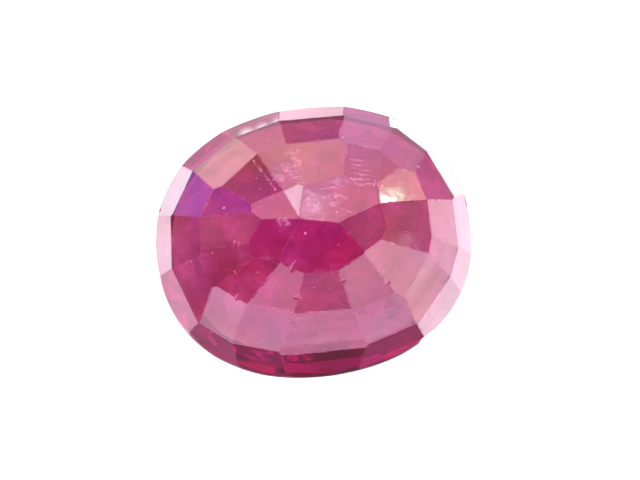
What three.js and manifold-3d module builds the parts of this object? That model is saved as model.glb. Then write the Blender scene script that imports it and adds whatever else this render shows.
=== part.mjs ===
// A ruby of oval outline, cut and polished by hand, lying on its table facet with the pavilion up.
// Millimetres, +Z up. The origin is the centre of the table facet, and +X is the long axis.
import * as THREE from "three";
import { mergeVertices } from "three/addons/utils/BufferGeometryUtils.js";
import Module from "manifold-3d";

// Driving dimensions of the stone
const LENGTH = 12.0;
const WIDTH = 10.3;
const CROWN_HEIGHT = 1.5;
const GIRDLE_HEIGHT = 0.25;

// The outline seen from above: 2 would be a plain ellipse, and more is fuller at the shoulders
const OUTLINE_POWER = 2.2;
const OUTLINE_STEPS = 120;

// Height above the girdle at which each pavilion tier starts
const MIDDLE_TIER_HEIGHT = 1.65;
const UPPER_TIER_HEIGHT = 3.25;
const KEEL_TIER_HEIGHT = 4.4;

// The rough is taller than the keel that the last cuts leave
const ROUGH_HEIGHT = 8.0;

// Crown: two tiers of equally spaced facets between the rim and the table
const CROWN_FACETS = 16;
const CROWN_LOW_SLOPE = 38;
const CROWN_HIGH_SLOPE = 27;
const CROWN_STEP_HEIGHT = 0.85;

// Pavilion tiers, counter-clockwise from the left end of the stone.
// A hand-cut stone has uneven facets, so each has its own compass direction, its slope from the
// horizontal in degrees and, above the rim, its reach: how far from the axis it passes at the
// height where its tier starts. A girdle facet starts at the rim, which it leaves scalloped.
const GIRDLE_TIER = [
  { azimuth: 173, slope: 70 },
  { azimuth: 197, slope: 70 },
  { azimuth: 231, slope: 72 },
  { azimuth: 251, slope: 67 },
  { azimuth: 267, slope: 64 },
  { azimuth: 284, slope: 69 },
  { azimuth: 317, slope: 69 },
  { azimuth: 336, slope: 71 },
  { azimuth: 357, slope: 70 },
  { azimuth: 21, slope: 68 },
  { azimuth: 45, slope: 70 },
  { azimuth: 68, slope: 68 },
  { azimuth: 86, slope: 68 },
  { azimuth: 103, slope: 68 },
  { azimuth: 121, slope: 66 },
  { azimuth: 146, slope: 67 },
];

const MIDDLE_TIER = [
  { azimuth: 173, slope: 55, reach: 5.4 },
  { azimuth: 197, slope: 56, reach: 5.4 },
  { azimuth: 232, slope: 48, reach: 5.15 },
  { azimuth: 251, slope: 49, reach: 4.65 },
  { azimuth: 267, slope: 52, reach: 4.36 },
  { azimuth: 283, slope: 51, reach: 4.62 },
  { azimuth: 317, slope: 54, reach: 5.15 },
  { azimuth: 336, slope: 56, reach: 5.4 },
  { azimuth: 356, slope: 57, reach: 5.42 },
  { azimuth: 20, slope: 58, reach: 5.32 },
  { azimuth: 46, slope: 52, reach: 5.15 },
  { azimuth: 68, slope: 52, reach: 4.75 },
  { azimuth: 85, slope: 53, reach: 4.52 },
  { azimuth: 104, slope: 53, reach: 4.62 },
  { azimuth: 121, slope: 51, reach: 4.82 },
  { azimuth: 145, slope: 54, reach: 5.19 },
];

// A thin extra facet along the front edge between the girdle tier and the middle tier
const FRONT_STRIP = { azimuth: 267, slope: 58, reach: 4.33 };

const UPPER_TIER = [
  { azimuth: 173, slope: 32, reach: 4.28 },
  { azimuth: 196, slope: 34, reach: 4.22 },
  { azimuth: 232, slope: 37, reach: 3.7 },
  { azimuth: 251, slope: 41, reach: 3.25 },
  { azimuth: 267, slope: 43, reach: 3.08 },
  { azimuth: 282, slope: 42, reach: 3.26 },
  { azimuth: 314, slope: 40, reach: 3.82 },
  { azimuth: 331, slope: 37, reach: 4.18 },
  { azimuth: 352, slope: 36, reach: 4.35 },
  { azimuth: 25, slope: 38, reach: 4.22 },
  { azimuth: 49, slope: 38, reach: 3.93 },
  { azimuth: 67, slope: 36, reach: 3.54 },
  { azimuth: 82, slope: 36, reach: 3.32 },
  { azimuth: 106, slope: 36, reach: 3.42 },
  { azimuth: 118, slope: 36, reach: 3.5 },
  { azimuth: 143, slope: 35, reach: 3.98 },
];

// The facets that close over the top and leave the short keel
const KEEL_TIER = [
  { azimuth: 66, slope: 21, reach: 1.9 },
  { azimuth: 105, slope: 24, reach: 2.0 },
  { azimuth: 127, slope: 25, reach: 2.08 },
  { azimuth: 199, slope: 21, reach: 2.45 },
  { azimuth: 267, slope: 22, reach: 1.85 },
  { azimuth: 336, slope: 20, reach: 2.78 },
];

const wasm = await Module();
wasm.setup();

const GIRDLE_LOW = CROWN_HEIGHT;
const GIRDLE_TOP = CROWN_HEIGHT + GIRDLE_HEIGHT;
const CUTTER_SIZE = 40;
const CUTTER_DEPTH = 12;

const radians = THREE.MathUtils.degToRad;

// A closed three.js geometry as a solid that can be cut
function solidFrom(geometry) {
  const bare = geometry.clone();
  bare.deleteAttribute("normal");
  bare.deleteAttribute("uv");
  const merged = mergeVertices(bare, 1e-5);
  return new wasm.Manifold(
    new wasm.Mesh({
      numProp: 3,
      vertProperties: merged.attributes.position.array,
      triVerts: new Uint32Array(merged.index.array),
    }),
  );
}

// A cut solid as a three.js geometry with flat facets
function geometryFrom(solid) {
  const mesh = solid.getMesh();
  const shared = new THREE.BufferGeometry();
  shared.setAttribute("position", new THREE.BufferAttribute(mesh.vertProperties, 3));
  shared.setIndex(new THREE.BufferAttribute(mesh.triVerts, 1));
  const flat = shared.toNonIndexed();
  flat.computeVertexNormals();
  return flat;
}

// One coordinate of the outline at an angle around it
function outlineCoordinate(halfSize, ratio) {
  return halfSize * Math.sign(ratio) * Math.abs(ratio) ** (2 / OUTLINE_POWER);
}

// How far the outline reaches in a compass direction
function outlineReach(azimuth) {
  const dual = OUTLINE_POWER / (OUTLINE_POWER - 1);
  const alongX = Math.abs((LENGTH / 2) * Math.cos(azimuth));
  const alongY = Math.abs((WIDTH / 2) * Math.sin(azimuth));
  return (alongX ** dual + alongY ** dual) ** (1 / dual);
}

// The upright oval block that the facets are cut from
function roughStone() {
  const points = [];
  for (let i = 0; i < OUTLINE_STEPS; i++) {
    const turn = (i / OUTLINE_STEPS) * 2 * Math.PI;
    const x = outlineCoordinate(LENGTH / 2, Math.cos(turn));
    const y = outlineCoordinate(WIDTH / 2, Math.sin(turn));
    points.push(new THREE.Vector2(x, y));
  }
  const shape = new THREE.Shape(points);
  return new THREE.ExtrudeGeometry(shape, { depth: ROUGH_HEIGHT, bevelEnabled: false });
}

// Cuts away all that lies outside the plane with this outward normal through this point
function cutFacet(solid, normal, point) {
  const block = new THREE.BoxGeometry(CUTTER_SIZE, CUTTER_SIZE, CUTTER_DEPTH);
  block.translate(0, 0, CUTTER_DEPTH / 2);
  const up = new THREE.Vector3(0, 0, 1);
  block.applyQuaternion(new THREE.Quaternion().setFromUnitVectors(up, normal));
  block.translate(point.x, point.y, point.z);
  return solid.subtract(solidFrom(block));
}

// A pavilion facet faces up and out, and a crown facet faces down and out
function cutAt(solid, { azimuth, slope, reach, height, facesUp }) {
  const steep = radians(slope);
  const outward = new THREE.Vector3(Math.cos(azimuth), Math.sin(azimuth), 0);
  const point = outward.clone().multiplyScalar(reach);
  point.z = height;
  const normal = outward.multiplyScalar(Math.sin(steep));
  normal.z = facesUp ? Math.cos(steep) : -Math.cos(steep);
  return cutFacet(solid, normal, point);
}

// Pavilion, tier by tier from the rim to the keel
function cutPavilion(solid) {
  let stone = solid;
  for (const { azimuth, slope } of GIRDLE_TIER) {
    const direction = radians(azimuth);
    const reach = outlineReach(direction);
    stone = cutAt(stone, { azimuth: direction, slope, reach, height: GIRDLE_TOP, facesUp: true });
  }
  const tiers = [
    { height: MIDDLE_TIER_HEIGHT, facets: [...MIDDLE_TIER, FRONT_STRIP] },
    { height: UPPER_TIER_HEIGHT, facets: UPPER_TIER },
    { height: KEEL_TIER_HEIGHT, facets: KEEL_TIER },
  ];
  for (const tier of tiers) {
    const height = GIRDLE_TOP + tier.height;
    for (const { azimuth, slope, reach } of tier.facets) {
      stone = cutAt(stone, { azimuth: radians(azimuth), slope, reach, height, facesUp: true });
    }
  }
  return stone;
}

// Crown: a lower ring of facets from the rim, and an upper ring half a step round from it
function cutCrown(solid) {
  let stone = solid;
  const stepIn = CROWN_STEP_HEIGHT / Math.tan(radians(CROWN_LOW_SLOPE));
  for (let i = 0; i < CROWN_FACETS; i++) {
    const step = (2 * Math.PI) / CROWN_FACETS;
    const lowTurn = (i + 0.5) * step;
    const highTurn = i * step;
    const low = Math.atan2(Math.sin(lowTurn) * LENGTH, Math.cos(lowTurn) * WIDTH);
    const high = Math.atan2(Math.sin(highTurn) * LENGTH, Math.cos(highTurn) * WIDTH);
    stone = cutAt(stone, {
      azimuth: low,
      slope: CROWN_LOW_SLOPE,
      reach: outlineReach(low),
      height: GIRDLE_LOW,
      facesUp: false,
    });
    stone = cutAt(stone, {
      azimuth: high,
      slope: CROWN_HIGH_SLOPE,
      reach: outlineReach(high) - stepIn,
      height: GIRDLE_LOW - CROWN_STEP_HEIGHT,
      facesUp: false,
    });
  }
  return stone;
}

// Ruby: deep red, glassy and polished
const rubyMaterial = new THREE.MeshStandardMaterial({
  color: 0xa81f52,
  roughness: 0.06,
  metalness: 0,
  flatShading: true,
});

const stone = cutCrown(cutPavilion(solidFrom(roughStone())));
const ruby = new THREE.Mesh(geometryFrom(stone), rubyMaterial);
ruby.name = "ruby";

const group = new THREE.Group();
group.add(ruby);

export default group;
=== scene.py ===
# A hand-cut oval ruby lying on its table facet: the polished stone, what is inside it, and a stage.
import math
import random

import bmesh
import bpy
from mathutils import Matrix, Vector, noise
from mathutils.kdtree import KDTree


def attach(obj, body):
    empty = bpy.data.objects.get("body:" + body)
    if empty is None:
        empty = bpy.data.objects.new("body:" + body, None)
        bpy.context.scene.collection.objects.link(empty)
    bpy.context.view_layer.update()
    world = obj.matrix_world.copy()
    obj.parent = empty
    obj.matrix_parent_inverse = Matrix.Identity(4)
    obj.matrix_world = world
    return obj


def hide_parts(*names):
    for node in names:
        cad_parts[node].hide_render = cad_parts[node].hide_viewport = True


bl_info = {
    "name": "Cut Ruby",
    "version": (1, 0, 0),
    "blender": (4, 5, 0),
    "location": "View3D > Sidebar > Ruby",
    "description": "An oval ruby with polished facets, natural inclusions and a light stage",
    "category": "Object",
}

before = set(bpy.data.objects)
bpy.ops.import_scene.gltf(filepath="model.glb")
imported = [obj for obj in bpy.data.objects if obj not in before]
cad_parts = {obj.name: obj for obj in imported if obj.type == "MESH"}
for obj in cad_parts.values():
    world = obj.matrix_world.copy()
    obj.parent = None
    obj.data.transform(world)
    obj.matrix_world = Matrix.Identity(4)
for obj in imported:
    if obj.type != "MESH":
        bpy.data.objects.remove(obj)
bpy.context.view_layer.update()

MM = 0.001
UP = Vector((0.0, 0.0, 1.0))


# Settings that a user would change

class StoneSettings(bpy.types.PropertyGroup):
    edge_width: bpy.props.FloatProperty(
        name="Edge width", description="Width of the worn line along each facet edge",
        default=0.04 * MM, unit="LENGTH")
    chip_spacing: bpy.props.FloatProperty(
        name="Chip spacing", description="Length of one step of the nicked edges",
        default=0.07 * MM, unit="LENGTH")
    chip_depth: bpy.props.FloatProperty(
        name="Chip depth", description="How far the largest nicks reach into a facet",
        default=0.34 * MM, unit="LENGTH")
    merge_distance: bpy.props.FloatProperty(
        name="Merge distance", description="Corners closer than this become one",
        default=0.09 * MM, unit="LENGTH")
    magenta: bpy.props.FloatVectorProperty(
        name="Magenta body", description="Colour of the bluer zones of the crystal",
        default=(0.345, 0.085, 0.185), subtype="COLOR", min=0.0, max=1.0)
    crimson: bpy.props.FloatVectorProperty(
        name="Crimson body", description="Colour of the redder zones of the crystal",
        default=(0.335, 0.105, 0.105), subtype="COLOR", min=0.0, max=1.0)
    veil_color: bpy.props.FloatVectorProperty(
        name="Veil colour", description="Colour of the pale cloudy streaks",
        default=(0.66, 0.42, 0.46), subtype="COLOR", min=0.0, max=1.0)
    # The frost is partly real wear and partly a painted highlight that lightens the edge strips into
    # thin bright lines
    frost_and_highlight_color: bpy.props.FloatVectorProperty(
        name="Frost colour", description="Colour of the worn edges",
        default=(0.78, 0.5, 0.6), subtype="COLOR", min=0.0, max=1.0)
    rim_color: bpy.props.FloatVectorProperty(
        name="Rim colour", description="Colour of the ground, unpolished rim",
        default=(0.22, 0.05, 0.09), subtype="COLOR", min=0.0, max=1.0)
    depth_color: bpy.props.FloatVectorProperty(
        name="Depth colour", description="Colour that the crystal keeps as light travels through it",
        default=(1.0, 0.013, 0.86), subtype="COLOR", min=0.0, max=1.0)
    depth_density: bpy.props.FloatProperty(
        name="Depth density", description="How quickly the depth colour builds up, per metre",
        default=300.0, min=0.0)
    refraction: bpy.props.FloatProperty(
        name="Refraction", description="Refractive index of the crystal", default=1.766)
    # Painted glow: a faint even emission that stands in for light scattered inside the stone, partly
    # ruby's real red fluorescence
    painted_glow_and_fluorescence: bpy.props.FloatVectorProperty(
        name="Fluorescence", description="The faint red glow that ruby gives under white light",
        default=(0.02, 0.0006, 0.006), subtype="COLOR", min=0.0, max=1.0)
    clearness: bpy.props.FloatProperty(
        name="Clearness", description="Share of light that passes instead of scattering at once",
        default=0.96, min=0.0, max=1.0)
    polish: bpy.props.FloatProperty(
        name="Polish", description="Surface roughness of the facets", default=0.03, min=0.0, max=1.0)


class InclusionSettings(bpy.types.PropertyGroup):
    depth: bpy.props.FloatProperty(
        name="Depth", description="How far below the facets the inclusions lie",
        default=0.1 * MM, unit="LENGTH")
    grain_size: bpy.props.FloatProperty(
        name="Grain size", description="Radius of a typical crystal grain",
        default=0.06 * MM, unit="LENGTH")
    feather_width: bpy.props.FloatProperty(
        name="Feather width", description="Width of a fine healed crack",
        default=0.07 * MM, unit="LENGTH")
    color: bpy.props.FloatVectorProperty(
        name="Colour", description="Colour of the grains and the healed cracks",
        default=(1.0, 0.6, 0.88), subtype="COLOR", min=0.0, max=1.0)


class StageSettings(bpy.types.PropertyGroup):
    floor_size: bpy.props.FloatProperty(
        name="Floor size", description="Side of the floor", default=0.6, unit="LENGTH")
    floor_gap: bpy.props.FloatProperty(
        name="Floor gap", description="Air between the stone and the floor",
        default=0.02 * MM, unit="LENGTH")
    floor_color: bpy.props.FloatVectorProperty(
        name="Floor colour", description="Colour of the floor",
        default=(0.2, 0.2, 0.2), subtype="COLOR", min=0.0, max=1.0)
    field_width: bpy.props.FloatProperty(
        name="Field width", description="Width that the picture takes in at the stone",
        default=24.35 * MM, unit="LENGTH")
    lens: bpy.props.FloatProperty(
        name="Lens", description="Focal length in millimetres", default=500.0)
    tilt: bpy.props.FloatProperty(
        name="Tilt", description="Camera's lean from straight above towards the front",
        default=math.radians(9.0), subtype="ANGLE")
    side_tilt: bpy.props.FloatProperty(
        name="Side tilt", description="Camera's lean to the left",
        default=math.radians(1.5), subtype="ANGLE")
    roll: bpy.props.FloatProperty(
        name="Roll", description="How far the stone's long axis rises to the right in the picture",
        default=math.radians(8.5), subtype="ANGLE")
    floor_glow: bpy.props.FloatProperty(
        name="Floor glow", description="How brightly the light pad under the stone shines",
        default=1.15)
    softbox_power: bpy.props.FloatProperty(
        name="Softbox power", description="Power of the overhead softbox", default=0.1)
    softbox_size: bpy.props.FloatProperty(
        name="Softbox size", description="Side of the overhead softbox", default=0.2, unit="LENGTH")
    softbox_height: bpy.props.FloatProperty(
        name="Softbox height", description="Height of the overhead softbox", default=0.25,
        unit="LENGTH")
    surround: bpy.props.FloatProperty(
        name="Surround", description="Brightness of the white studio round the stone", default=0.43)
    mirrored_surround: bpy.props.FloatProperty(
        name="Mirrored surround", description="Brightness of the studio in the facets' reflections",
        default=0.15)


# Helpers shared by the pieces

def new_object(name, mesh_source):
    """Links a finished bmesh as a new object at the origin."""
    mesh = bpy.data.meshes.new(name)
    mesh_source.to_mesh(mesh)
    mesh_source.free()
    piece = bpy.data.objects.new(name, mesh)
    bpy.context.scene.collection.objects.link(piece)
    return piece


def new_material(name):
    """A new material, its node tree and its surface shader."""
    material = bpy.data.materials.new(name)
    material.use_nodes = True
    return material, material.node_tree, material.node_tree.nodes["Principled BSDF"]


CLOUDS = "soft clouds"
SPOT = "soft spot"


def build_clouds():
    """The soft clouds of stone, inclusions and cards: 0 below Low and 1 above High."""
    tree = bpy.data.node_groups.new(CLOUDS, "ShaderNodeTree")
    for name, kind, value in (
            ("Position", "NodeSocketVector", (0.0, 0.0, 0.0)),
            ("Stretch", "NodeSocketVector", (1.0, 1.0, 1.0)),
            ("Shift", "NodeSocketFloat", 0.0), ("Size", "NodeSocketFloat", MM),
            ("Detail", "NodeSocketFloat", 2.0), ("Distortion", "NodeSocketFloat", 0.0),
            ("Low", "NodeSocketFloat", 0.3), ("High", "NodeSocketFloat", 0.7)):
        socket = tree.interface.new_socket(name=name, in_out="INPUT", socket_type=kind)
        socket.default_value = value
    tree.interface.new_socket(name="Cloud", in_out="OUTPUT", socket_type="NodeSocketFloat")
    given = tree.nodes.new("NodeGroupInput").outputs
    result = tree.nodes.new("NodeGroupOutput").inputs
    place = tree.nodes.new("ShaderNodeVectorMath")
    place.operation = "MULTIPLY_ADD"
    pattern = tree.nodes.new("ShaderNodeTexNoise")
    band = tree.nodes.new("ShaderNodeMapRange")
    band.interpolation_type = "SMOOTHSTEP"
    for source, target in (
            (given["Position"], place.inputs[0]), (given["Stretch"], place.inputs[1]),
            (given["Shift"], place.inputs[2]), (place.outputs["Vector"], pattern.inputs["Vector"]),
            (calculated(tree, "DIVIDE", 1.0, given["Size"]), pattern.inputs["Scale"]),
            (given["Detail"], pattern.inputs["Detail"]),
            (given["Distortion"], pattern.inputs["Distortion"]),
            (pattern.outputs["Fac"], band.inputs["Value"]), (given["Low"], band.inputs["From Min"]),
            (given["High"], band.inputs["From Max"]), (band.outputs["Result"], result["Cloud"])):
        tree.links.new(source, target)
    return tree


def clouds(tree, place, size, **values):
    """A cloud mask in this material; size is the width of a typical cloud in metres."""
    node = tree.nodes.new("ShaderNodeGroup")
    node.node_tree = bpy.data.node_groups.get(CLOUDS) or build_clouds()
    tree.links.new(place, node.inputs["Position"])
    node.inputs["Size"].default_value = size
    for name, value in values.items():
        node.inputs[name.title()].default_value = value
    return node.outputs["Cloud"]


def between(tree, share, low, high):
    """A number that runs from low to high as the share runs from 0 to 1."""
    node = tree.nodes.new("ShaderNodeMapRange")
    node.inputs["To Min"].default_value = low
    node.inputs["To Max"].default_value = high
    tree.links.new(share, node.inputs["Value"])
    return node.outputs["Result"]


def build_spot():
    """The soft round spot of the stone and the cards: 1 at Middle and 0 beyond Reach."""
    tree = bpy.data.node_groups.new(SPOT, "ShaderNodeTree")
    for name, kind in (
            ("Position", "NodeSocketVector"), ("Middle", "NodeSocketVector"),
            ("Reach", "NodeSocketFloat")):
        tree.interface.new_socket(name=name, in_out="INPUT", socket_type=kind)
    tree.interface.new_socket(name="Spot", in_out="OUTPUT", socket_type="NodeSocketFloat")
    given = tree.nodes.new("NodeGroupInput").outputs
    result = tree.nodes.new("NodeGroupOutput").inputs
    away = tree.nodes.new("ShaderNodeVectorMath")
    away.operation = "DISTANCE"
    fade = tree.nodes.new("ShaderNodeMapRange")
    fade.interpolation_type = "SMOOTHSTEP"
    fade.inputs["From Max"].default_value = 0.0
    for source, target in (
            (given["Position"], away.inputs[0]), (given["Middle"], away.inputs[1]),
            (away.outputs["Value"], fade.inputs["Value"]),
            (given["Reach"], fade.inputs["From Min"]), (fade.outputs["Result"], result["Spot"])):
        tree.links.new(source, target)
    return tree


def nearness(tree, place, middle, reach):
    """A spot mask in this material; its middle and its reach are in millimetres."""
    node = tree.nodes.new("ShaderNodeGroup")
    node.node_tree = bpy.data.node_groups.get(SPOT) or build_spot()
    tree.links.new(place, node.inputs["Position"])
    node.inputs["Middle"].default_value = Vector(middle) * MM
    node.inputs["Reach"].default_value = reach * MM
    return node.outputs["Spot"]


def mixed(tree, share, first, second):
    """first where share is 0 and second where it is 1; each is a colour or a socket."""
    node = tree.nodes.new("ShaderNodeMix")
    node.data_type = "RGBA"
    for name, color in (("A", first), ("B", second)):
        socket = next(s for s in node.inputs if s.name == name and s.type == "RGBA")
        if isinstance(color, bpy.types.NodeSocket):
            tree.links.new(color, socket)
        else:
            socket.default_value = (*color, 1.0)
    tree.links.new(share, node.inputs["Factor"])
    return next(s for s in node.outputs if s.type == "RGBA")


def dimmed(tree, color, value):
    """A colour times a number."""
    node = tree.nodes.new("ShaderNodeVectorMath")
    node.operation = "SCALE"
    tree.links.new(color, node.inputs[0])
    tree.links.new(value, node.inputs["Scale"])
    return node.outputs["Vector"]


def calculated(tree, operation, first, second):
    """A calculation with two values; each is a number or a socket."""
    node = tree.nodes.new("ShaderNodeMath")
    node.operation = operation
    for socket, value in zip(node.inputs, (first, second)):
        if isinstance(value, bpy.types.NodeSocket):
            tree.links.new(value, socket)
        else:
            socket.default_value = value
    return node.outputs["Value"]


def attribute_value(tree, name):
    """The value that each face of the piece keeps under this name."""
    node = tree.nodes.new("ShaderNodeAttribute")
    node.attribute_name = name
    return node.outputs["Fac"]


# The stone

WEAR = "wear"
RIM = "rim"

# Colour zones, upright in the stone, partly natural zoning and partly painted light and shade that
# stand in for light bouncing between the facets: middle in millimetres, reach, colour, strength
ZONES_AND_PAINTED_LIGHT = (
    ((-3.0, -1.1), 2.6, (0.28, 0.05, 0.045), 1.0),
    ((-3.3, 0.6), 1.5, (0.49, 0.25, 0.18), 1.0),
    ((-2.0, -0.5), 1.1, (0.27, 0.05, 0.11), 0.9),
    ((-3.1, -2.2), 0.9, (0.62, 0.37, 0.3), 1.0),
    ((-4.8, -1.0), 1.2, (0.35, 0.12, 0.2), 0.9),
    ((-1.1, 0.15), 0.8, (0.54, 0.36, 0.34), 0.9),
    ((-0.9, -1.1), 0.6, (0.45, 0.17, 0.24), 0.9),
    ((0.6, -0.9), 1.7, (0.35, 0.045, 0.1), 1.0),
    ((0.5, -0.4), 0.6, (0.5, 0.19, 0.25), 0.9),
    ((2.4, -0.7), 1.3, (0.35, 0.17, 0.14), 1.0),
    ((0.0, -6.2), 2.6, (0.06, 0.11, 0.14), 0.9),
)

# The zones hardly change with height, and their borders wander by up to the drift in millimetres
ZONE_FLATTENING = (1.0, 1.0, 0.03)
ZONE_DRIFT = 0.9
DRIFT_SIZE = 0.9 * MM
DRIFT_DETAIL = 3.0

# Width of a typical cut face that shows through from below, painted into the colour as lighter and
# darker tones of painted reflection
PAINTED_FACET_SIZE = 0.95 * MM

# Cloud patterns of the crystal, each with the width of a typical cloud in metres
BODY_ZONES = {
    "size": 3.2 * MM, "low": 0.42, "high": 0.6, "detail": 1.0, "distortion": 0.6, "shift": 0.4,
}
MOTTLING = {"size": 0.8 * MM, "detail": 3.0, "distortion": 0.5}
STREAKS = {
    "size": 1.6 * MM, "low": 0.58, "high": 0.8, "detail": 4.0, "distortion": 1.6, "shift": 0.7,
    "stretch": (1.0, 2.2, 1.0),
}
WORN_PATCHES = {"size": 0.5 * MM, "low": 0.4, "high": 0.65}
SMEARS = {"size": 0.9 * MM, "low": 0.4, "high": 0.75, "detail": 3.0}
WAVES = {"size": 1.1 * MM, "low": 0.0, "high": 1.0, "distortion": 0.3, "shift": 0.2}
SCRATCHES = {
    "size": 1.2 * MM, "low": 0.0, "high": 1.0, "detail": 1.0, "shift": 0.1,
    "stretch": (0.5, 9.0, 3.0),
}

# How strongly the patterns show
PAINTED_FACET_TONES = (0.78, 1.22)
MOTTLING_TONES = (0.86, 1.14)
STREAK_STRENGTH = 0.45
FROST_AND_HIGHLIGHT_STRENGTH = 0.3
SMEAR_ROUGHNESS = 0.03
WEAR_ROUGHNESS = 0.12
RIM_ROUGHNESS = 0.3
SCRATCH_SHARE = 0.1
BUMP_HEIGHT = 0.0015 * MM


def body_color(tree, place, settings):
    """Colour zones, partly natural and partly painted light and shade, broken by painted reflection
    tones of the cut faces that show through from below.
    """
    drift = tree.nodes.new("ShaderNodeTexNoise")
    drift.inputs["Scale"].default_value = 1 / DRIFT_SIZE
    drift.inputs["Detail"].default_value = DRIFT_DETAIL
    tree.links.new(place, drift.inputs["Vector"])
    bend = tree.nodes.new("ShaderNodeVectorMath")
    bend.operation = "MULTIPLY_ADD"
    bend.inputs[1].default_value = (ZONE_DRIFT * MM,) * 3
    tree.links.new(drift.outputs["Color"], bend.inputs[0])
    tree.links.new(place, bend.inputs[2])
    flat = tree.nodes.new("ShaderNodeVectorMath")
    flat.operation = "MULTIPLY"
    flat.inputs[1].default_value = ZONE_FLATTENING
    tree.links.new(bend.outputs["Vector"], flat.inputs[0])

    body = mixed(tree, clouds(tree, place, **BODY_ZONES), settings.crimson, settings.magenta)
    # Each zone paints its colour in: partly natural zoning, partly painted light and shade
    for (x, y), reach, color, strength in ZONES_AND_PAINTED_LIGHT:
        middle = (x + ZONE_DRIFT / 2, y + ZONE_DRIFT / 2, 0.0)
        near = nearness(tree, flat.outputs["Vector"], middle, reach)
        body = mixed(tree, calculated(tree, "MULTIPLY", near, strength), body, color)

    # Painted reflection: lighter and darker cells stand in for the cut faces seen through the stone
    painted_facets = tree.nodes.new("ShaderNodeTexVoronoi")
    painted_facets.inputs["Scale"].default_value = 1 / PAINTED_FACET_SIZE
    tree.links.new(flat.outputs["Vector"], painted_facets.inputs["Vector"])
    tones = tree.nodes.new("ShaderNodeSeparateColor")
    tree.links.new(painted_facets.outputs["Color"], tones.inputs["Color"])
    body = dimmed(tree, body, between(tree, tones.outputs["Red"], *PAINTED_FACET_TONES))
    mottling = clouds(tree, place, **MOTTLING)
    return dimmed(tree, body, between(tree, mottling, *MOTTLING_TONES))


def ruby_material(settings):
    """Clear tinted crystal, with pale streaks, frosted edges that also carry a painted highlight, a
    ground rim, painted light and shade in its colour and a painted inner glow.
    """
    material, tree, surface = new_material("polished ruby")
    nodes, links = tree.nodes, tree.links
    place = nodes.new("ShaderNodeTexCoord").outputs["Object"]
    wear = attribute_value(tree, WEAR)
    rim = attribute_value(tree, RIM)

    body = body_color(tree, place, settings)
    streaks = between(tree, clouds(tree, place, **STREAKS), 0.0, STREAK_STRENGTH)
    body = mixed(tree, streaks, body, settings.veil_color)
    # Worn frost and painted highlight on the edge strips
    worn = between(tree, clouds(tree, place, **WORN_PATCHES), 0.0, FROST_AND_HIGHLIGHT_STRENGTH)
    frost_and_highlight = calculated(tree, "MULTIPLY", wear, worn)
    body = mixed(tree, frost_and_highlight, body, settings.frost_and_highlight_color)
    body = mixed(tree, rim, body, settings.rim_color)
    links.new(body, surface.inputs["Base Color"])

    roughness = between(
        tree, clouds(tree, place, **SMEARS), settings.polish, settings.polish + SMEAR_ROUGHNESS)
    for mask, added in ((wear, WEAR_ROUGHNESS), (rim, RIM_ROUGHNESS)):
        roughness = calculated(tree, "ADD", roughness, calculated(tree, "MULTIPLY", mask, added))
    links.new(roughness, surface.inputs["Roughness"])

    waves = clouds(tree, place, **WAVES)
    scratches = calculated(tree, "MULTIPLY", clouds(tree, place, **SCRATCHES), SCRATCH_SHARE)
    bump = nodes.new("ShaderNodeBump")
    bump.inputs["Strength"].default_value = 1.0
    bump.inputs["Distance"].default_value = BUMP_HEIGHT
    height = calculated(tree, "ADD", waves, scratches)
    links.new(height, bump.inputs["Height"])
    links.new(bump.outputs["Normal"], surface.inputs["Normal"])

    surface.inputs["IOR"].default_value = settings.refraction
    surface.inputs["Transmission Weight"].default_value = settings.clearness
    # Painted glow, partly ruby's real red fluorescence: an even emission standing in for light
    # scattered inside the stone
    surface.inputs["Emission Color"].default_value = (*settings.painted_glow_and_fluorescence, 1.0)
    surface.inputs["Emission Strength"].default_value = 1.0
    depth = nodes.new("ShaderNodeVolumeAbsorption")
    depth.inputs["Color"].default_value = (*settings.depth_color, 1.0)
    depth.inputs["Density"].default_value = settings.depth_density
    links.new(depth.outputs["Volume"], nodes["Material Output"].inputs["Volume"])
    return material


# Corners this close are one corner, and faces that meet at less than this angle are one facet
TOUCHING = 0.002 * MM
FLAT_ANGLE = math.radians(0.6)

# A face is upright when its normal rises or falls by less than this
UPRIGHT = 0.02

# Nicks are deepest at this height and above, but the top of the keel has few of them
KEEL_HEIGHT = 5.4 * MM
KEEL_TOP = 6.45 * MM
KEEL_SHARE = 0.25

# The front left side is more worn than the sheltered side, and corners stay sharp
WORN_SIDE = Vector((-0.4, -0.9))
SHELTERED_SHARE = 0.4
CORNER_REACH = 0.5 * MM

# Width of one nick and of one nicked stretch, the depth of the nicks on a calm stretch, and what
# a nicked stretch adds to it
NICK_WIDTH = 0.24 * MM
STRETCH_WIDTH = 0.8 * MM
CALM_DEPTH = 0.3
STRETCH_DEPTH = 3.2


def upright(face):
    """True for the narrow band between the crown and the pavilion."""
    return abs(face.normal.z) < UPRIGHT


def facet_edges(bm):
    """The edges where two facets meet, without the ribs of the rim."""
    return [
        edge for edge in bm.edges
        if edge.calc_face_angle(0.0) > FLAT_ANGLE and not all(map(upright, edge.link_faces))
    ]


def split_edges(bm, spacing):
    """Cuts the facet edges into short steps, so that nicks can follow."""
    groups = {}
    for edge in facet_edges(bm):
        groups.setdefault(int(edge.calc_length() / spacing), []).append(edge)
    for cuts, edges in groups.items():
        if cuts:
            bmesh.ops.bisect_edges(bm, edges=edges, cuts=cuts)


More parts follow.
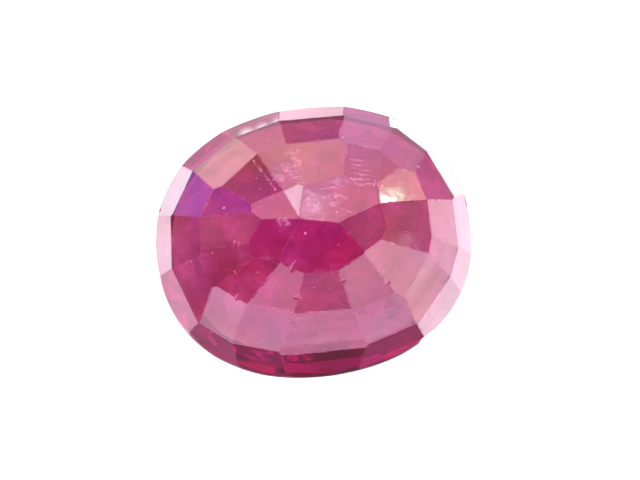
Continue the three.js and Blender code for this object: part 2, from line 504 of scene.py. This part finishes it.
def nick_edges(bm, strips, corners, largest):
    """Pushes the borders of the worn strips into the facets by an uneven amount, in their plane."""
    tree = KDTree(len(corners))
    for i, corner in enumerate(corners):
        tree.insert(corner, i)
    tree.balance()
    moves = []
    for vert in {vert for face in strips for vert in face.verts}:
        flats = [face for face in vert.link_faces if face not in strips]
        if len(flats) != 1 or upright(flats[0]):
            continue
        worn = [face.calc_center_median() for face in vert.link_faces if face in strips]
        away = vert.co - sum(worn, Vector()) / len(worn)
        away -= away.dot(flats[0].normal) * flats[0].normal
        if away.length < TOUCHING:
            continue
        fine = noise.noise(vert.co / NICK_WIDTH)
        coarse = noise.noise(vert.co / STRETCH_WIDTH + UP)
        facing = max(0.0, vert.co.xy.normalized().dot(WORN_SIDE))
        exposed = min(1.0, vert.co.z / KEEL_HEIGHT) ** 3
        exposed *= SHELTERED_SHARE + (1 - SHELTERED_SHARE) * facing
        exposed *= KEEL_SHARE if vert.co.z > KEEL_TOP else 1.0
        free = min(1.0, tree.find(vert.co)[2] / CORNER_REACH) ** 2
        depth = abs(fine) * (CALM_DEPTH + STRETCH_DEPTH * max(0.0, coarse))
        moves.append((vert, away.normalized() * depth * exposed * free * largest))
    for vert, move in moves:
        vert.co += move


class RUBY_OT_stone(bpy.types.Operator):
    """Makes the polished stone, with its nicked facet edges, from the cut solid"""
    bl_idname = "ruby.stone"
    bl_label = "Polished stone"

    def execute(self, context):
        settings = context.scene.ruby_stone
        bm = bmesh.new()
        bm.from_mesh(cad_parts["ruby"].data)
        wear = bm.faces.layers.float.new(WEAR)
        rim = bm.faces.layers.float.new(RIM)
        bmesh.ops.remove_doubles(bm, verts=bm.verts, dist=TOUCHING)
        bmesh.ops.dissolve_limit(bm, angle_limit=FLAT_ANGLE, verts=bm.verts, edges=bm.edges)
        bmesh.ops.remove_doubles(bm, verts=bm.verts, dist=settings.merge_distance)
        corners = [vert.co.copy() for vert in bm.verts]
        split_edges(bm, settings.chip_spacing)
        made = bmesh.ops.bevel(
            bm, geom=facet_edges(bm), offset=settings.edge_width, offset_type="WIDTH",
            affect="EDGES", segments=1, profile=0.5, material=-1, clamp_overlap=False)
        strips = set(made["faces"])
        nick_edges(bm, strips, corners, settings.chip_depth)
        bmesh.ops.recalc_face_normals(bm, faces=bm.faces)
        for face in bm.faces:
            face[wear] = float(face in strips)
            face[rim] = float(upright(face) and face not in strips)
        stone = new_object("polished_ruby", bm)
        stone.data.materials.append(ruby_material(settings))
        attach(stone, "root")
        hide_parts("ruby")
        return {"FINISHED"}


# Inclusions: places in millimetres, on the facet above each one

GRAINS = (
    (-3.3, 1.2, 5.4), (-3.1, -0.2, 5.75), (-4.0, -0.4, 5.2), (-0.4, -0.4, 6.7), (0.8, -1.0, 6.5),
    (-2.4, -1.5, 5.8), (-1.9, 2.9, 5.0), (-1.7, 2.45, 5.4), (-1.5, 2.0, 5.75), (-1.28, 1.5, 6.15),
    (0.9, 0.2, 6.6), (1.6, 3.3, 4.6),
)

# Parallel growth lines in one facet: how many, the first line's two ends, and the step to the next
GROWTH_LINES = (6, (1.7, 2.35, 5.46), (2.52, 2.15, 5.4), (-0.02, -0.2, 0.14))

# Parallel silk threads, given in the same way
SILK_LINES = (5, (-0.85, 2.25, 5.72), (-0.3, 2.1, 5.92), (0.06, -0.14, 0.09))

# Healed cracks: the two ends of each
CRACKS = (
    ((2.0, 2.93, 5.0), (2.9, 2.66, 4.9)), ((-1.9, 2.92, 5.0), (-1.62, 2.3, 5.5)),
    ((-1.64, 2.34, 5.47), (-1.22, 1.44, 6.19)), ((0.35, 1.2, 6.36), (1.4, 1.3, 6.18)),
    ((1.1, 0.35, 6.56), (1.5, 0.1, 6.57)),
)

# Cloudy veils: one end, the other end, and the width
VEILS = (
    ((-0.1, 1.3, 6.42), (0.25, 0.2, 6.7), 0.55), ((0.4, 0.95, 6.46), (1.5, 0.75, 6.38), 0.3),
    ((0.55, 0.5, 6.58), (1.2, 0.65, 6.46), 0.25), ((0.7, 1.5, 6.22), (1.9, 1.45, 6.0), 0.3),
    ((-1.2, 2.5, 5.55), (-0.4, 2.4, 5.75), 0.4), ((-0.9, 3.0, 5.1), (-0.1, 3.1, 5.1), 0.3),
    ((-1.4, 0.3, 6.55), (-0.9, 0.0, 6.7), 0.3), ((-1.35, 2.3, 5.65), (-0.9, 1.8, 6.02), 0.35),
    ((-0.45, 2.9, 5.25), (-0.15, 2.2, 5.82), 0.3),
)

# Inclusions sink from their facet towards this point
CORE = Vector((0.0, 0.0, 3.0)) * MM

# Grains: how uneven they are, their sizes as shares of a typical one, and where the deep ones lie
GRAIN_STRETCH = (0.6, 1.4)
FACET_GRAIN_SIZES = (0.7, 1.1)
DEEP_GRAIN_SIZES = (0.3, 0.6)
DEEP_GRAINS = 18
DEEP_REACH = (3.6, 3.0)
DEEP_HEIGHTS = (3.5, 5)
GRAIN_TURN = 3

# Seeds of the uneven sizes and waves of each kind of inclusion, and how many waves to draw from
GRAIN_SEED = 11
FEATHER_SEED = 5
VEIL_SEED = 8
PHASES = 50

LINE_STEPS = 18
FEATHER_THICKNESS = 0.012 * MM
FEATHER_WIDTHS = (0.7, 1.5)
FEATHER_WAVES = (0.5, 1.4)
VEIL_WAVE = 0.2

# A feather's width at its ends, how ragged its sides are, and its ripples from end to end
END_SHARE = 0.15
RAGGEDNESS = 0.7
RAGGED_RIPPLES = 7
SIDE_RIPPLES = 3
SWAY_RIPPLES = 2.5
SWAY_PLACE = 4

# Patches of lighter and darker inclusion, and how dark the darker ones are
PATCHES = {"size": 0.25 * MM, "low": 0.35, "high": 0.65}
PATCH_SHADE = 0.6
THICKNESS = {"low": 0.36, "high": 0.68, "shift": 0.3}
INCLUSION_ROUGHNESS = 0.6


def sunk(place, depth):
    """A place on a facet, in millimetres, moved into the stone."""
    point = Vector(place) * MM
    return point + (CORE - point).normalized() * depth


def add_grain(bm, middle, size, draw):
    """One small uneven crystal."""
    made = bmesh.ops.create_icosphere(bm, subdivisions=1, radius=size)["verts"]
    stretch = [draw.uniform(*GRAIN_STRETCH) for _ in range(3)]
    bmesh.ops.scale(bm, vec=stretch, verts=made)
    bmesh.ops.rotate(
        bm, verts=made, cent=(0, 0, 0), matrix=Matrix.Rotation(draw.uniform(0, GRAIN_TURN), 3, "Z"))
    bmesh.ops.translate(bm, vec=middle, verts=made)


def add_feather(bm, start, end, width, wave, draw):
    """One thin wavy plate, narrow at its ends."""
    made = bmesh.ops.create_grid(bm, x_segments=LINE_STEPS, y_segments=2, size=0.5)["verts"]
    along = end - start
    across = along.cross(UP).normalized()
    phase = draw.uniform(0, PHASES)
    for vert in made:
        share = vert.co.x + 0.5
        ripple = noise.noise((share * RAGGED_RIPPLES, phase, vert.co.y * SIDE_RIPPLES))
        ragged = 1 + RAGGEDNESS * ripple
        swell = END_SHARE + (1 - END_SHARE) * math.sin(math.pi * share) * ragged
        sway = noise.noise((share * SWAY_RIPPLES, phase, SWAY_PLACE)) * wave
        vert.co = start + along * share + across * (vert.co.y * width * swell + sway)
    faces = list(dict.fromkeys(face for vert in made for face in vert.link_faces))
    bmesh.ops.solidify(bm, geom=faces, thickness=FEATHER_THICKNESS)


def inclusion_material(name, settings, grain, thinnest, thickest, glow):
    """Pale, with a painted glow that stands in for the light they scatter inside a clear crystal."""
    material, tree, surface = new_material(name)
    place = tree.nodes.new("ShaderNodeTexCoord").outputs["Object"]
    patches = clouds(tree, place, **PATCHES)
    shade = [PATCH_SHADE * channel for channel in settings.color]
    tree.links.new(mixed(tree, patches, shade, settings.color), surface.inputs["Base Color"])
    thickness = clouds(tree, place, grain, **THICKNESS)
    tree.links.new(between(tree, thickness, thinnest, thickest), surface.inputs["Alpha"])
    surface.inputs["Roughness"].default_value = INCLUSION_ROUGHNESS
    # Painted glow: the inclusions shine by their own emission, standing in for the light they
    # scatter
    surface.inputs["Emission Color"].default_value = (*settings.color, 1.0)
    surface.inputs["Emission Strength"].default_value = glow
    return material


def finish_inclusions(name, bm, material):
    """Links the finished inclusions, which ride on the stone's body."""
    bmesh.ops.recalc_face_normals(bm, faces=bm.faces)
    piece = new_object(name, bm)
    piece.data.materials.append(material)
    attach(piece, "root")


class RUBY_OT_grains(bpy.types.Operator):
    """Adds the tiny crystals that show as bright points"""
    bl_idname = "ruby.grains"
    bl_label = "Crystal grains"

    def execute(self, context):
        settings = context.scene.ruby_inclusions
        draw = random.Random(GRAIN_SEED)
        bm = bmesh.new()
        for place in GRAINS:
            size = settings.grain_size * draw.uniform(*FACET_GRAIN_SIZES)
            add_grain(bm, sunk(place, settings.depth), size, draw)
        for _ in range(DEEP_GRAINS):
            turn = draw.uniform(0, 2 * math.pi)
            spread = math.sqrt(draw.random())
            place = Vector((
                DEEP_REACH[0] * spread * math.cos(turn), DEEP_REACH[1] * spread * math.sin(turn),
                draw.uniform(*DEEP_HEIGHTS)))
            size = settings.grain_size * draw.uniform(*DEEP_GRAIN_SIZES)
            add_grain(bm, place * MM, size, draw)
        # The grains show as bright points by their painted glow
        material = inclusion_material(
            "grains", settings, grain=0.2 * MM, thinnest=0.8, thickest=1.0, glow=1.0)
        finish_inclusions("crystal_grains", bm, material)
        return {"FINISHED"}


class RUBY_OT_feathers(bpy.types.Operator):
    """Adds the healed cracks, the silk and the parallel growth lines"""
    bl_idname = "ruby.feathers"
    bl_label = "Feathers"

    def execute(self, context):
        settings = context.scene.ruby_inclusions
        draw = random.Random(FEATHER_SEED)
        bm = bmesh.new()
        lines = list(CRACKS)
        for count, start, end, step in (GROWTH_LINES, SILK_LINES):
            for i in range(count):
                shift = Vector(step) * i
                lines.append((Vector(start) + shift, Vector(end) + shift))
        for start, end in lines:
            width = settings.feather_width * draw.uniform(*FEATHER_WIDTHS)
            wave = settings.feather_width * draw.uniform(*FEATHER_WAVES)
            ends = (sunk(start, settings.depth), sunk(end, settings.depth))
            add_feather(bm, *ends, width, wave, draw)
        material = inclusion_material(
            "feathers", settings, grain=0.16 * MM, thinnest=0.1, thickest=0.8, glow=0.65)
        finish_inclusions("feathers", bm, material)
        return {"FINISHED"}


class RUBY_OT_veils(bpy.types.Operator):
    """Adds the broad cloudy veils under the upper facets"""
    bl_idname = "ruby.veils"
    bl_label = "Veils"

    def execute(self, context):
        settings = context.scene.ruby_inclusions
        draw = random.Random(VEIL_SEED)
        bm = bmesh.new()
        for start, end, width in VEILS:
            ends = (sunk(start, 2 * settings.depth), sunk(end, 2 * settings.depth))
            add_feather(bm, *ends, width * MM, VEIL_WAVE * width * MM, draw)
        material = inclusion_material(
            "veils", settings, grain=0.22 * MM, thinnest=0.0, thickest=0.6, glow=0.65)
        finish_inclusions("veils", bm, material)
        return {"FINISHED"}


# The stage

# The facets mirror a tent of cards round the stone, which nothing else sees. The tent has belts:
# each is a line from its foot to its head, as distance from the axis and height in millimetres.
FLOOR_LIFT = 0.2
WALL_DISTANCE = 100.0
EYE_HEIGHT = 5.0


def wall(low, high):
    """A belt of the standing wall between two height angles in degrees."""
    slopes = (math.tan(math.radians(angle)) for angle in (low, high))
    return tuple((WALL_DISTANCE, EYE_HEIGHT + WALL_DISTANCE * slope) for slope in slopes)


BELTS = {
    "near_floor": ((5.0, FLOOR_LIFT), (10.4, FLOOR_LIFT)),
    "floor": ((10.4, FLOOR_LIFT), (26.0, FLOOR_LIFT)),
    "far_floor": ((26.0, FLOOR_LIFT), (WALL_DISTANCE, FLOOR_LIFT)),
    "low_wall": wall(-2.75, 5.0),
    "wall": wall(5.0, 22.0),
    "upper_wall": wall(22.0, 27.0),
    "high_wall": wall(27.0, 48.0),
    "top_wall": wall(48.0, 60.0),
}

# Cards of each belt: compass directions in degrees where one starts and ends, colour, strength
CARDS = {
    "near_floor": (
        (12, 54, (0.8, 1.0, 0.95), 4.1),
        (54, 72, (1.0, 0.63, 0.97), 1.23),
        (72, 94, (1.0, 0.77, 0.86), 2.2),
        (94, 115, (1.0, 0.74, 0.86), 1.05),
        (115, 137, (1.0, 0.44, 0.69), 1.6),
        (137, 156, (0.9, 0.87, 1.0), 3.3),
        (156, 184, (1.0, 0.88, 1.0), 2.8),
        (184, 207, (1.0, 0.6, 0.8), 2.35),
        (207, 232, (1.0, 0.4, 0.7), 1.05),
        (232, 253, (1.0, 0.45, 0.8), 0.5),
        (253, 282, (0.0, 1.0, 0.52), 0.18),
        (282, 309, (1.0, 0.45, 0.7), 0.65),
        (309, 372, (1.0, 0.81, 0.93), 4.15),
    ),
    "floor": (
        (14, 36, (1.0, 0.44, 0.71), 1.32),
        (36, 57, (1.0, 0.68, 0.92), 1.7),
        (57, 76, (1.0, 0.68, 1.0), 1.8),
        (76, 95, (1.0, 0.51, 0.76), 0.79),
        (95, 111, (1.0, 0.61, 0.73), 2.04),
        (111, 132, (1.0, 0.73, 0.7), 3.25),
        (132, 154, (0.35, 0.25, 1.0), 2.0),
        (154, 205, (1.0, 0.6, 0.9), 0.4),
        (205, 309, (1.0, 0.69, 0.99), 1.85),
        (309, 374, (1.0, 0.82, 0.87), 3.65),
    ),
    "far_floor": (
        (44, 130, (1.0, 0.7, 0.75), 1.8),
        (205, 276, (0.95, 0.7, 1.0), 2.7),
        (276, 300, (0.78, 0.74, 1.0), 2.9),
        (300, 372, (1.0, 0.8, 0.87), 3.0),
    ),
    "low_wall": (
        (44, 130, (1.0, 0.7, 0.75), 1.8),
        (205, 238, (0.95, 0.74, 1.0), 3.05),
        (238, 300, (0.9, 0.72, 1.0), 2.8),
        (300, 372, (1.0, 0.8, 0.87), 3.0),
    ),
    "wall": (
        (20, 44, (1.0, 0.66, 0.54), 4.2),
        (44, 60, (1.0, 0.84, 0.96), 1.4),
        (60, 75, (1.0, 0.75, 0.97), 1.75),
        (75, 92, (1.0, 0.64, 0.57), 3.45),
        (92, 107, (1.0, 0.74, 0.67), 2.95),
        (107, 124, (0.2, 1.0, 0.3), 0.4),
        (124, 149, (0.0, 0.23, 1.0), 1.3),
        (149, 175, (1.0, 0.71, 0.77), 1.0),
        (238, 259, (1.0, 0.63, 0.85), 2.77),
        (259, 276, (0.8, 0.7, 1.0), 0.85),
        (276, 303, (0.9, 0.85, 1.0), 2.15),
        (303, 331, (1.0, 0.78, 0.86), 4.3),
        (331, 375, (1.0, 0.78, 0.65), 0.9),
    ),
    "upper_wall": (
        (44, 130, (1.0, 0.66, 0.72), 2.8),
        (149, 175, (0.6, 0.95, 1.0), 0.42),
        (175, 205, (0.6, 0.7, 1.0), 0.3),
    ),
    "high_wall": (
        (50, 91, (1.0, 0.69, 0.84), 2.8),
        (91, 110, (1.0, 0.96, 0.98), 6.45),
        (110, 130, (1.0, 0.59, 0.61), 2.4),
    ),
    "top_wall": (
        (176, 198, (1.0, 0.13, 0.23), 0.47),
        (256, 282, (1.0, 0.25, 0.86), 0.28),
        (335, 365, (0.54, 0.78, 1.0), 0.54),
    ),
}
DEGREES_PER_STEP = 3
CARD_CLOUDS = {"size": 3.5 * MM, "detail": 1.0}
CARD_TONES = (0.85, 1.13)

# Spots on a card: middle in millimetres, reach, colour and strength
SPOTS = {
    "wall_20": (
        ((84.9, 52.8, 21.75), 1.0, (0.85, 1.0, 0.4), 6.5),
        ((84.85, 52.87, 21.85), 0.7, (0.75, 1.0, 0.85), 20.0),
        ((84.95, 52.7, 21.5), 0.5, (0.8, 1.0, 0.8), 17.0),
    ),
    "high_wall_50": (((35.3, 93.5, 87.1), 1.6, (1.0, 0.8, 0.92), 5.4),),
    "wall_331": (((94.0, -34.1, 37.5), 0.9, (1.0, 0.64, 0.75), 3.0),),
    "near_floor_94": tuple(
        (place, 0.5, (1.0, 0.93, 0.96), 3.6)
        for place in ((-2.3, 6.65, 0.2), (-1.7, 6.85, 0.2), (-1.0, 7.0, 0.2))),
    "near_floor_156": (((-8.6, 2.8, 0.2), 1.1, (1.0, 0.76, 0.9), 1.7),),
}


PAD_TINT = (1.0, 0.985, 0.99, 1.0)
PAD_ROUGHNESS = 0.9
WHITE = (1.0, 1.0, 1.0, 1.0)
BLACK = (0.0, 0.0, 0.0, 1.0)

# The camera's sensor in millimetres, and the point of the rim's plane that it looks at
SENSOR_WIDTH = 36.0
RIM_HEIGHT = 1.75 * MM
AIM_RIGHT = 0.236 * MM
AIM_UP = 0.065 * MM
CLIP_START = 0.01
CLIP_END = 10.0


def card_material(name, color, strength):
    """An even glow with soft clouds and spots, so that a facet mirrors a gentle gradient."""
    material, tree, surface = new_material(name)
    place = tree.nodes.new("ShaderNodeTexCoord").outputs["Object"]
    softness = clouds(tree, place, **CARD_CLOUDS)
    glow = mixed(tree, softness, *([tone * part for part in color] for tone in CARD_TONES))
    for middle, reach, spot_color, spot_strength in SPOTS.get(name, ()):
        spot = [part * spot_strength / strength for part in spot_color]
        glow = mixed(tree, nearness(tree, place, middle, reach), glow, spot)
    tree.links.new(glow, surface.inputs["Emission Color"])
    surface.inputs["Emission Strength"].default_value = strength
    surface.inputs["Base Color"].default_value = BLACK
    surface.inputs["Specular IOR Level"].default_value = 0.0
    return material


def tent_card(name, belt, start, end, color, strength):
    """A glowing card, swept round the stone, that only reflections see."""
    bm = bmesh.new()
    ends = [bm.verts.new((distance * MM, 0.0, height * MM)) for distance, height in belt]
    line = bm.edges.new(ends)
    bmesh.ops.rotate(
        bm, verts=ends, cent=(0, 0, 0), matrix=Matrix.Rotation(math.radians(start), 3, "Z"))
    bmesh.ops.spin(
        bm, geom=[*ends, line], cent=(0, 0, 0), axis=(0, 0, 1),
        angle=math.radians(end - start), steps=max(1, (end - start) // DEGREES_PER_STEP),
        use_merge=False)
    card = new_object(name, bm)
    card.data.materials.append(card_material(name, color, strength))
    card.visible_camera = False
    card.visible_diffuse = False
    card.visible_transmission = False
    card.visible_volume_scatter = False
    card.visible_shadow = False


class RUBY_OT_stage(bpy.types.Operator):
    """Sets the pale floor, the soft lights, the cards and the camera"""
    bl_idname = "ruby.stage"
    bl_label = "Stage"

    def execute(self, context):
        settings = context.scene.ruby_stage
        self.floor(settings)
        self.cards()
        self.sky(context.scene, settings)
        self.lamp(settings)
        self.camera(context.scene, settings)
        context.scene.view_settings.view_transform = "Standard"
        return {"FINISHED"}

    def floor(self, settings):
        """A plain floor that glows like a light pad."""
        bm = bmesh.new()
        bmesh.ops.create_grid(bm, x_segments=1, y_segments=1, size=settings.floor_size / 2)
        bmesh.ops.translate(bm, vec=(0.0, 0.0, -settings.floor_gap), verts=bm.verts)
        floor = new_object("floor", bm)
        material, _, surface = new_material("pale floor")
        surface.inputs["Base Color"].default_value = (*settings.floor_color, 1.0)
        surface.inputs["Roughness"].default_value = PAD_ROUGHNESS
        surface.inputs["Specular IOR Level"].default_value = 0.0
        surface.inputs["Emission Color"].default_value = PAD_TINT
        surface.inputs["Emission Strength"].default_value = settings.floor_glow
        floor.data.materials.append(material)

    def cards(self):
        """The tent of cards that the facets mirror."""
        for belt, cards in CARDS.items():
            for start, end, color, strength in cards:
                tent_card(f"{belt}_{start}", BELTS[belt], start, end, color, strength)

    def sky(self, scene, settings):
        """White all round, but dim where a facet mirrors it."""
        world = bpy.data.worlds.new("studio surround")
        world.use_nodes = True
        tree = world.node_tree
        rays = tree.nodes.new("ShaderNodeLightPath").outputs
        mirrored = calculated(
            tree, "SUBTRACT", rays["Is Glossy Ray"], rays["Is Transmission Ray"])
        strength = between(tree, mirrored, settings.surround, settings.mirrored_surround)
        surround = tree.nodes["Background"].inputs
        surround["Color"].default_value = WHITE
        tree.links.new(strength, surround["Strength"])
        scene.world = world

    def lamp(self, settings):
        """The softbox over the stone, which the facets don't mirror."""
        light = bpy.data.lights.new("softbox", "AREA")
        light.shape = "SQUARE"
        light.size = settings.softbox_size
        light.energy = settings.softbox_power
        lamp = bpy.data.objects.new("softbox", light)
        lamp.location = UP * settings.softbox_height
        lamp.visible_glossy = False
        bpy.context.scene.collection.objects.link(lamp)

    def camera(self, scene, settings):
        """Looks down on the stone with a long lens, a little from the front and the left."""
        lens = bpy.data.cameras.new("camera")
        lens.sensor_width = SENSOR_WIDTH
        lens.lens = settings.lens
        tilt, side, roll = settings.tilt, settings.side_tilt, settings.roll
        right = Vector((math.cos(side), 0.0, math.sin(side)))
        up = Vector((0.0, math.cos(tilt), math.sin(tilt)))
        picture_right = (right * math.cos(roll) - up * math.sin(roll)).normalized()
        towards = picture_right.cross(right * math.sin(roll) + up * math.cos(roll)).normalized()
        picture_up = towards.cross(picture_right)
        aim = UP * RIM_HEIGHT + picture_right * AIM_RIGHT + picture_up * AIM_UP
        distance = settings.field_width * settings.lens / SENSOR_WIDTH
        turn = Matrix((picture_right, picture_up, towards)).transposed()
        place = aim + towards * distance
        lens.clip_start = CLIP_START
        lens.clip_end = CLIP_END
        camera = bpy.data.objects.new("camera", lens)
        camera.matrix_world = Matrix.Translation(place) @ turn.to_4x4()
        scene.collection.objects.link(camera)
        scene.camera = camera


class RUBY_PT_panel(bpy.types.Panel):
    """Lists the pieces of the ruby"""
    bl_label = "Ruby"
    bl_idname = "RUBY_PT_panel"
    bl_space_type = "VIEW_3D"
    bl_region_type = "UI"
    bl_category = "Ruby"

    def draw(self, context):
        for step in STEPS:
            self.layout.operator(step.bl_idname)


STEPS = (RUBY_OT_stone, RUBY_OT_grains, RUBY_OT_feathers, RUBY_OT_veils, RUBY_OT_stage)
CLASSES = (StoneSettings, InclusionSettings, StageSettings, *STEPS, RUBY_PT_panel)


def register():
    for each in CLASSES:
        bpy.utils.register_class(each)
    bpy.types.Scene.ruby_stone = bpy.props.PointerProperty(type=StoneSettings)
    bpy.types.Scene.ruby_inclusions = bpy.props.PointerProperty(type=InclusionSettings)
    bpy.types.Scene.ruby_stage = bpy.props.PointerProperty(type=StageSettings)


def unregister():
    del bpy.types.Scene.ruby_stage
    del bpy.types.Scene.ruby_inclusions
    del bpy.types.Scene.ruby_stone
    for each in reversed(CLASSES):
        bpy.utils.unregister_class(each)


def main():
    register()
    bpy.ops.ruby.stone()
    bpy.ops.ruby.grains()
    bpy.ops.ruby.feathers()
    bpy.ops.ruby.veils()
    bpy.ops.ruby.stage()


if __name__ == "__main__":
    main()
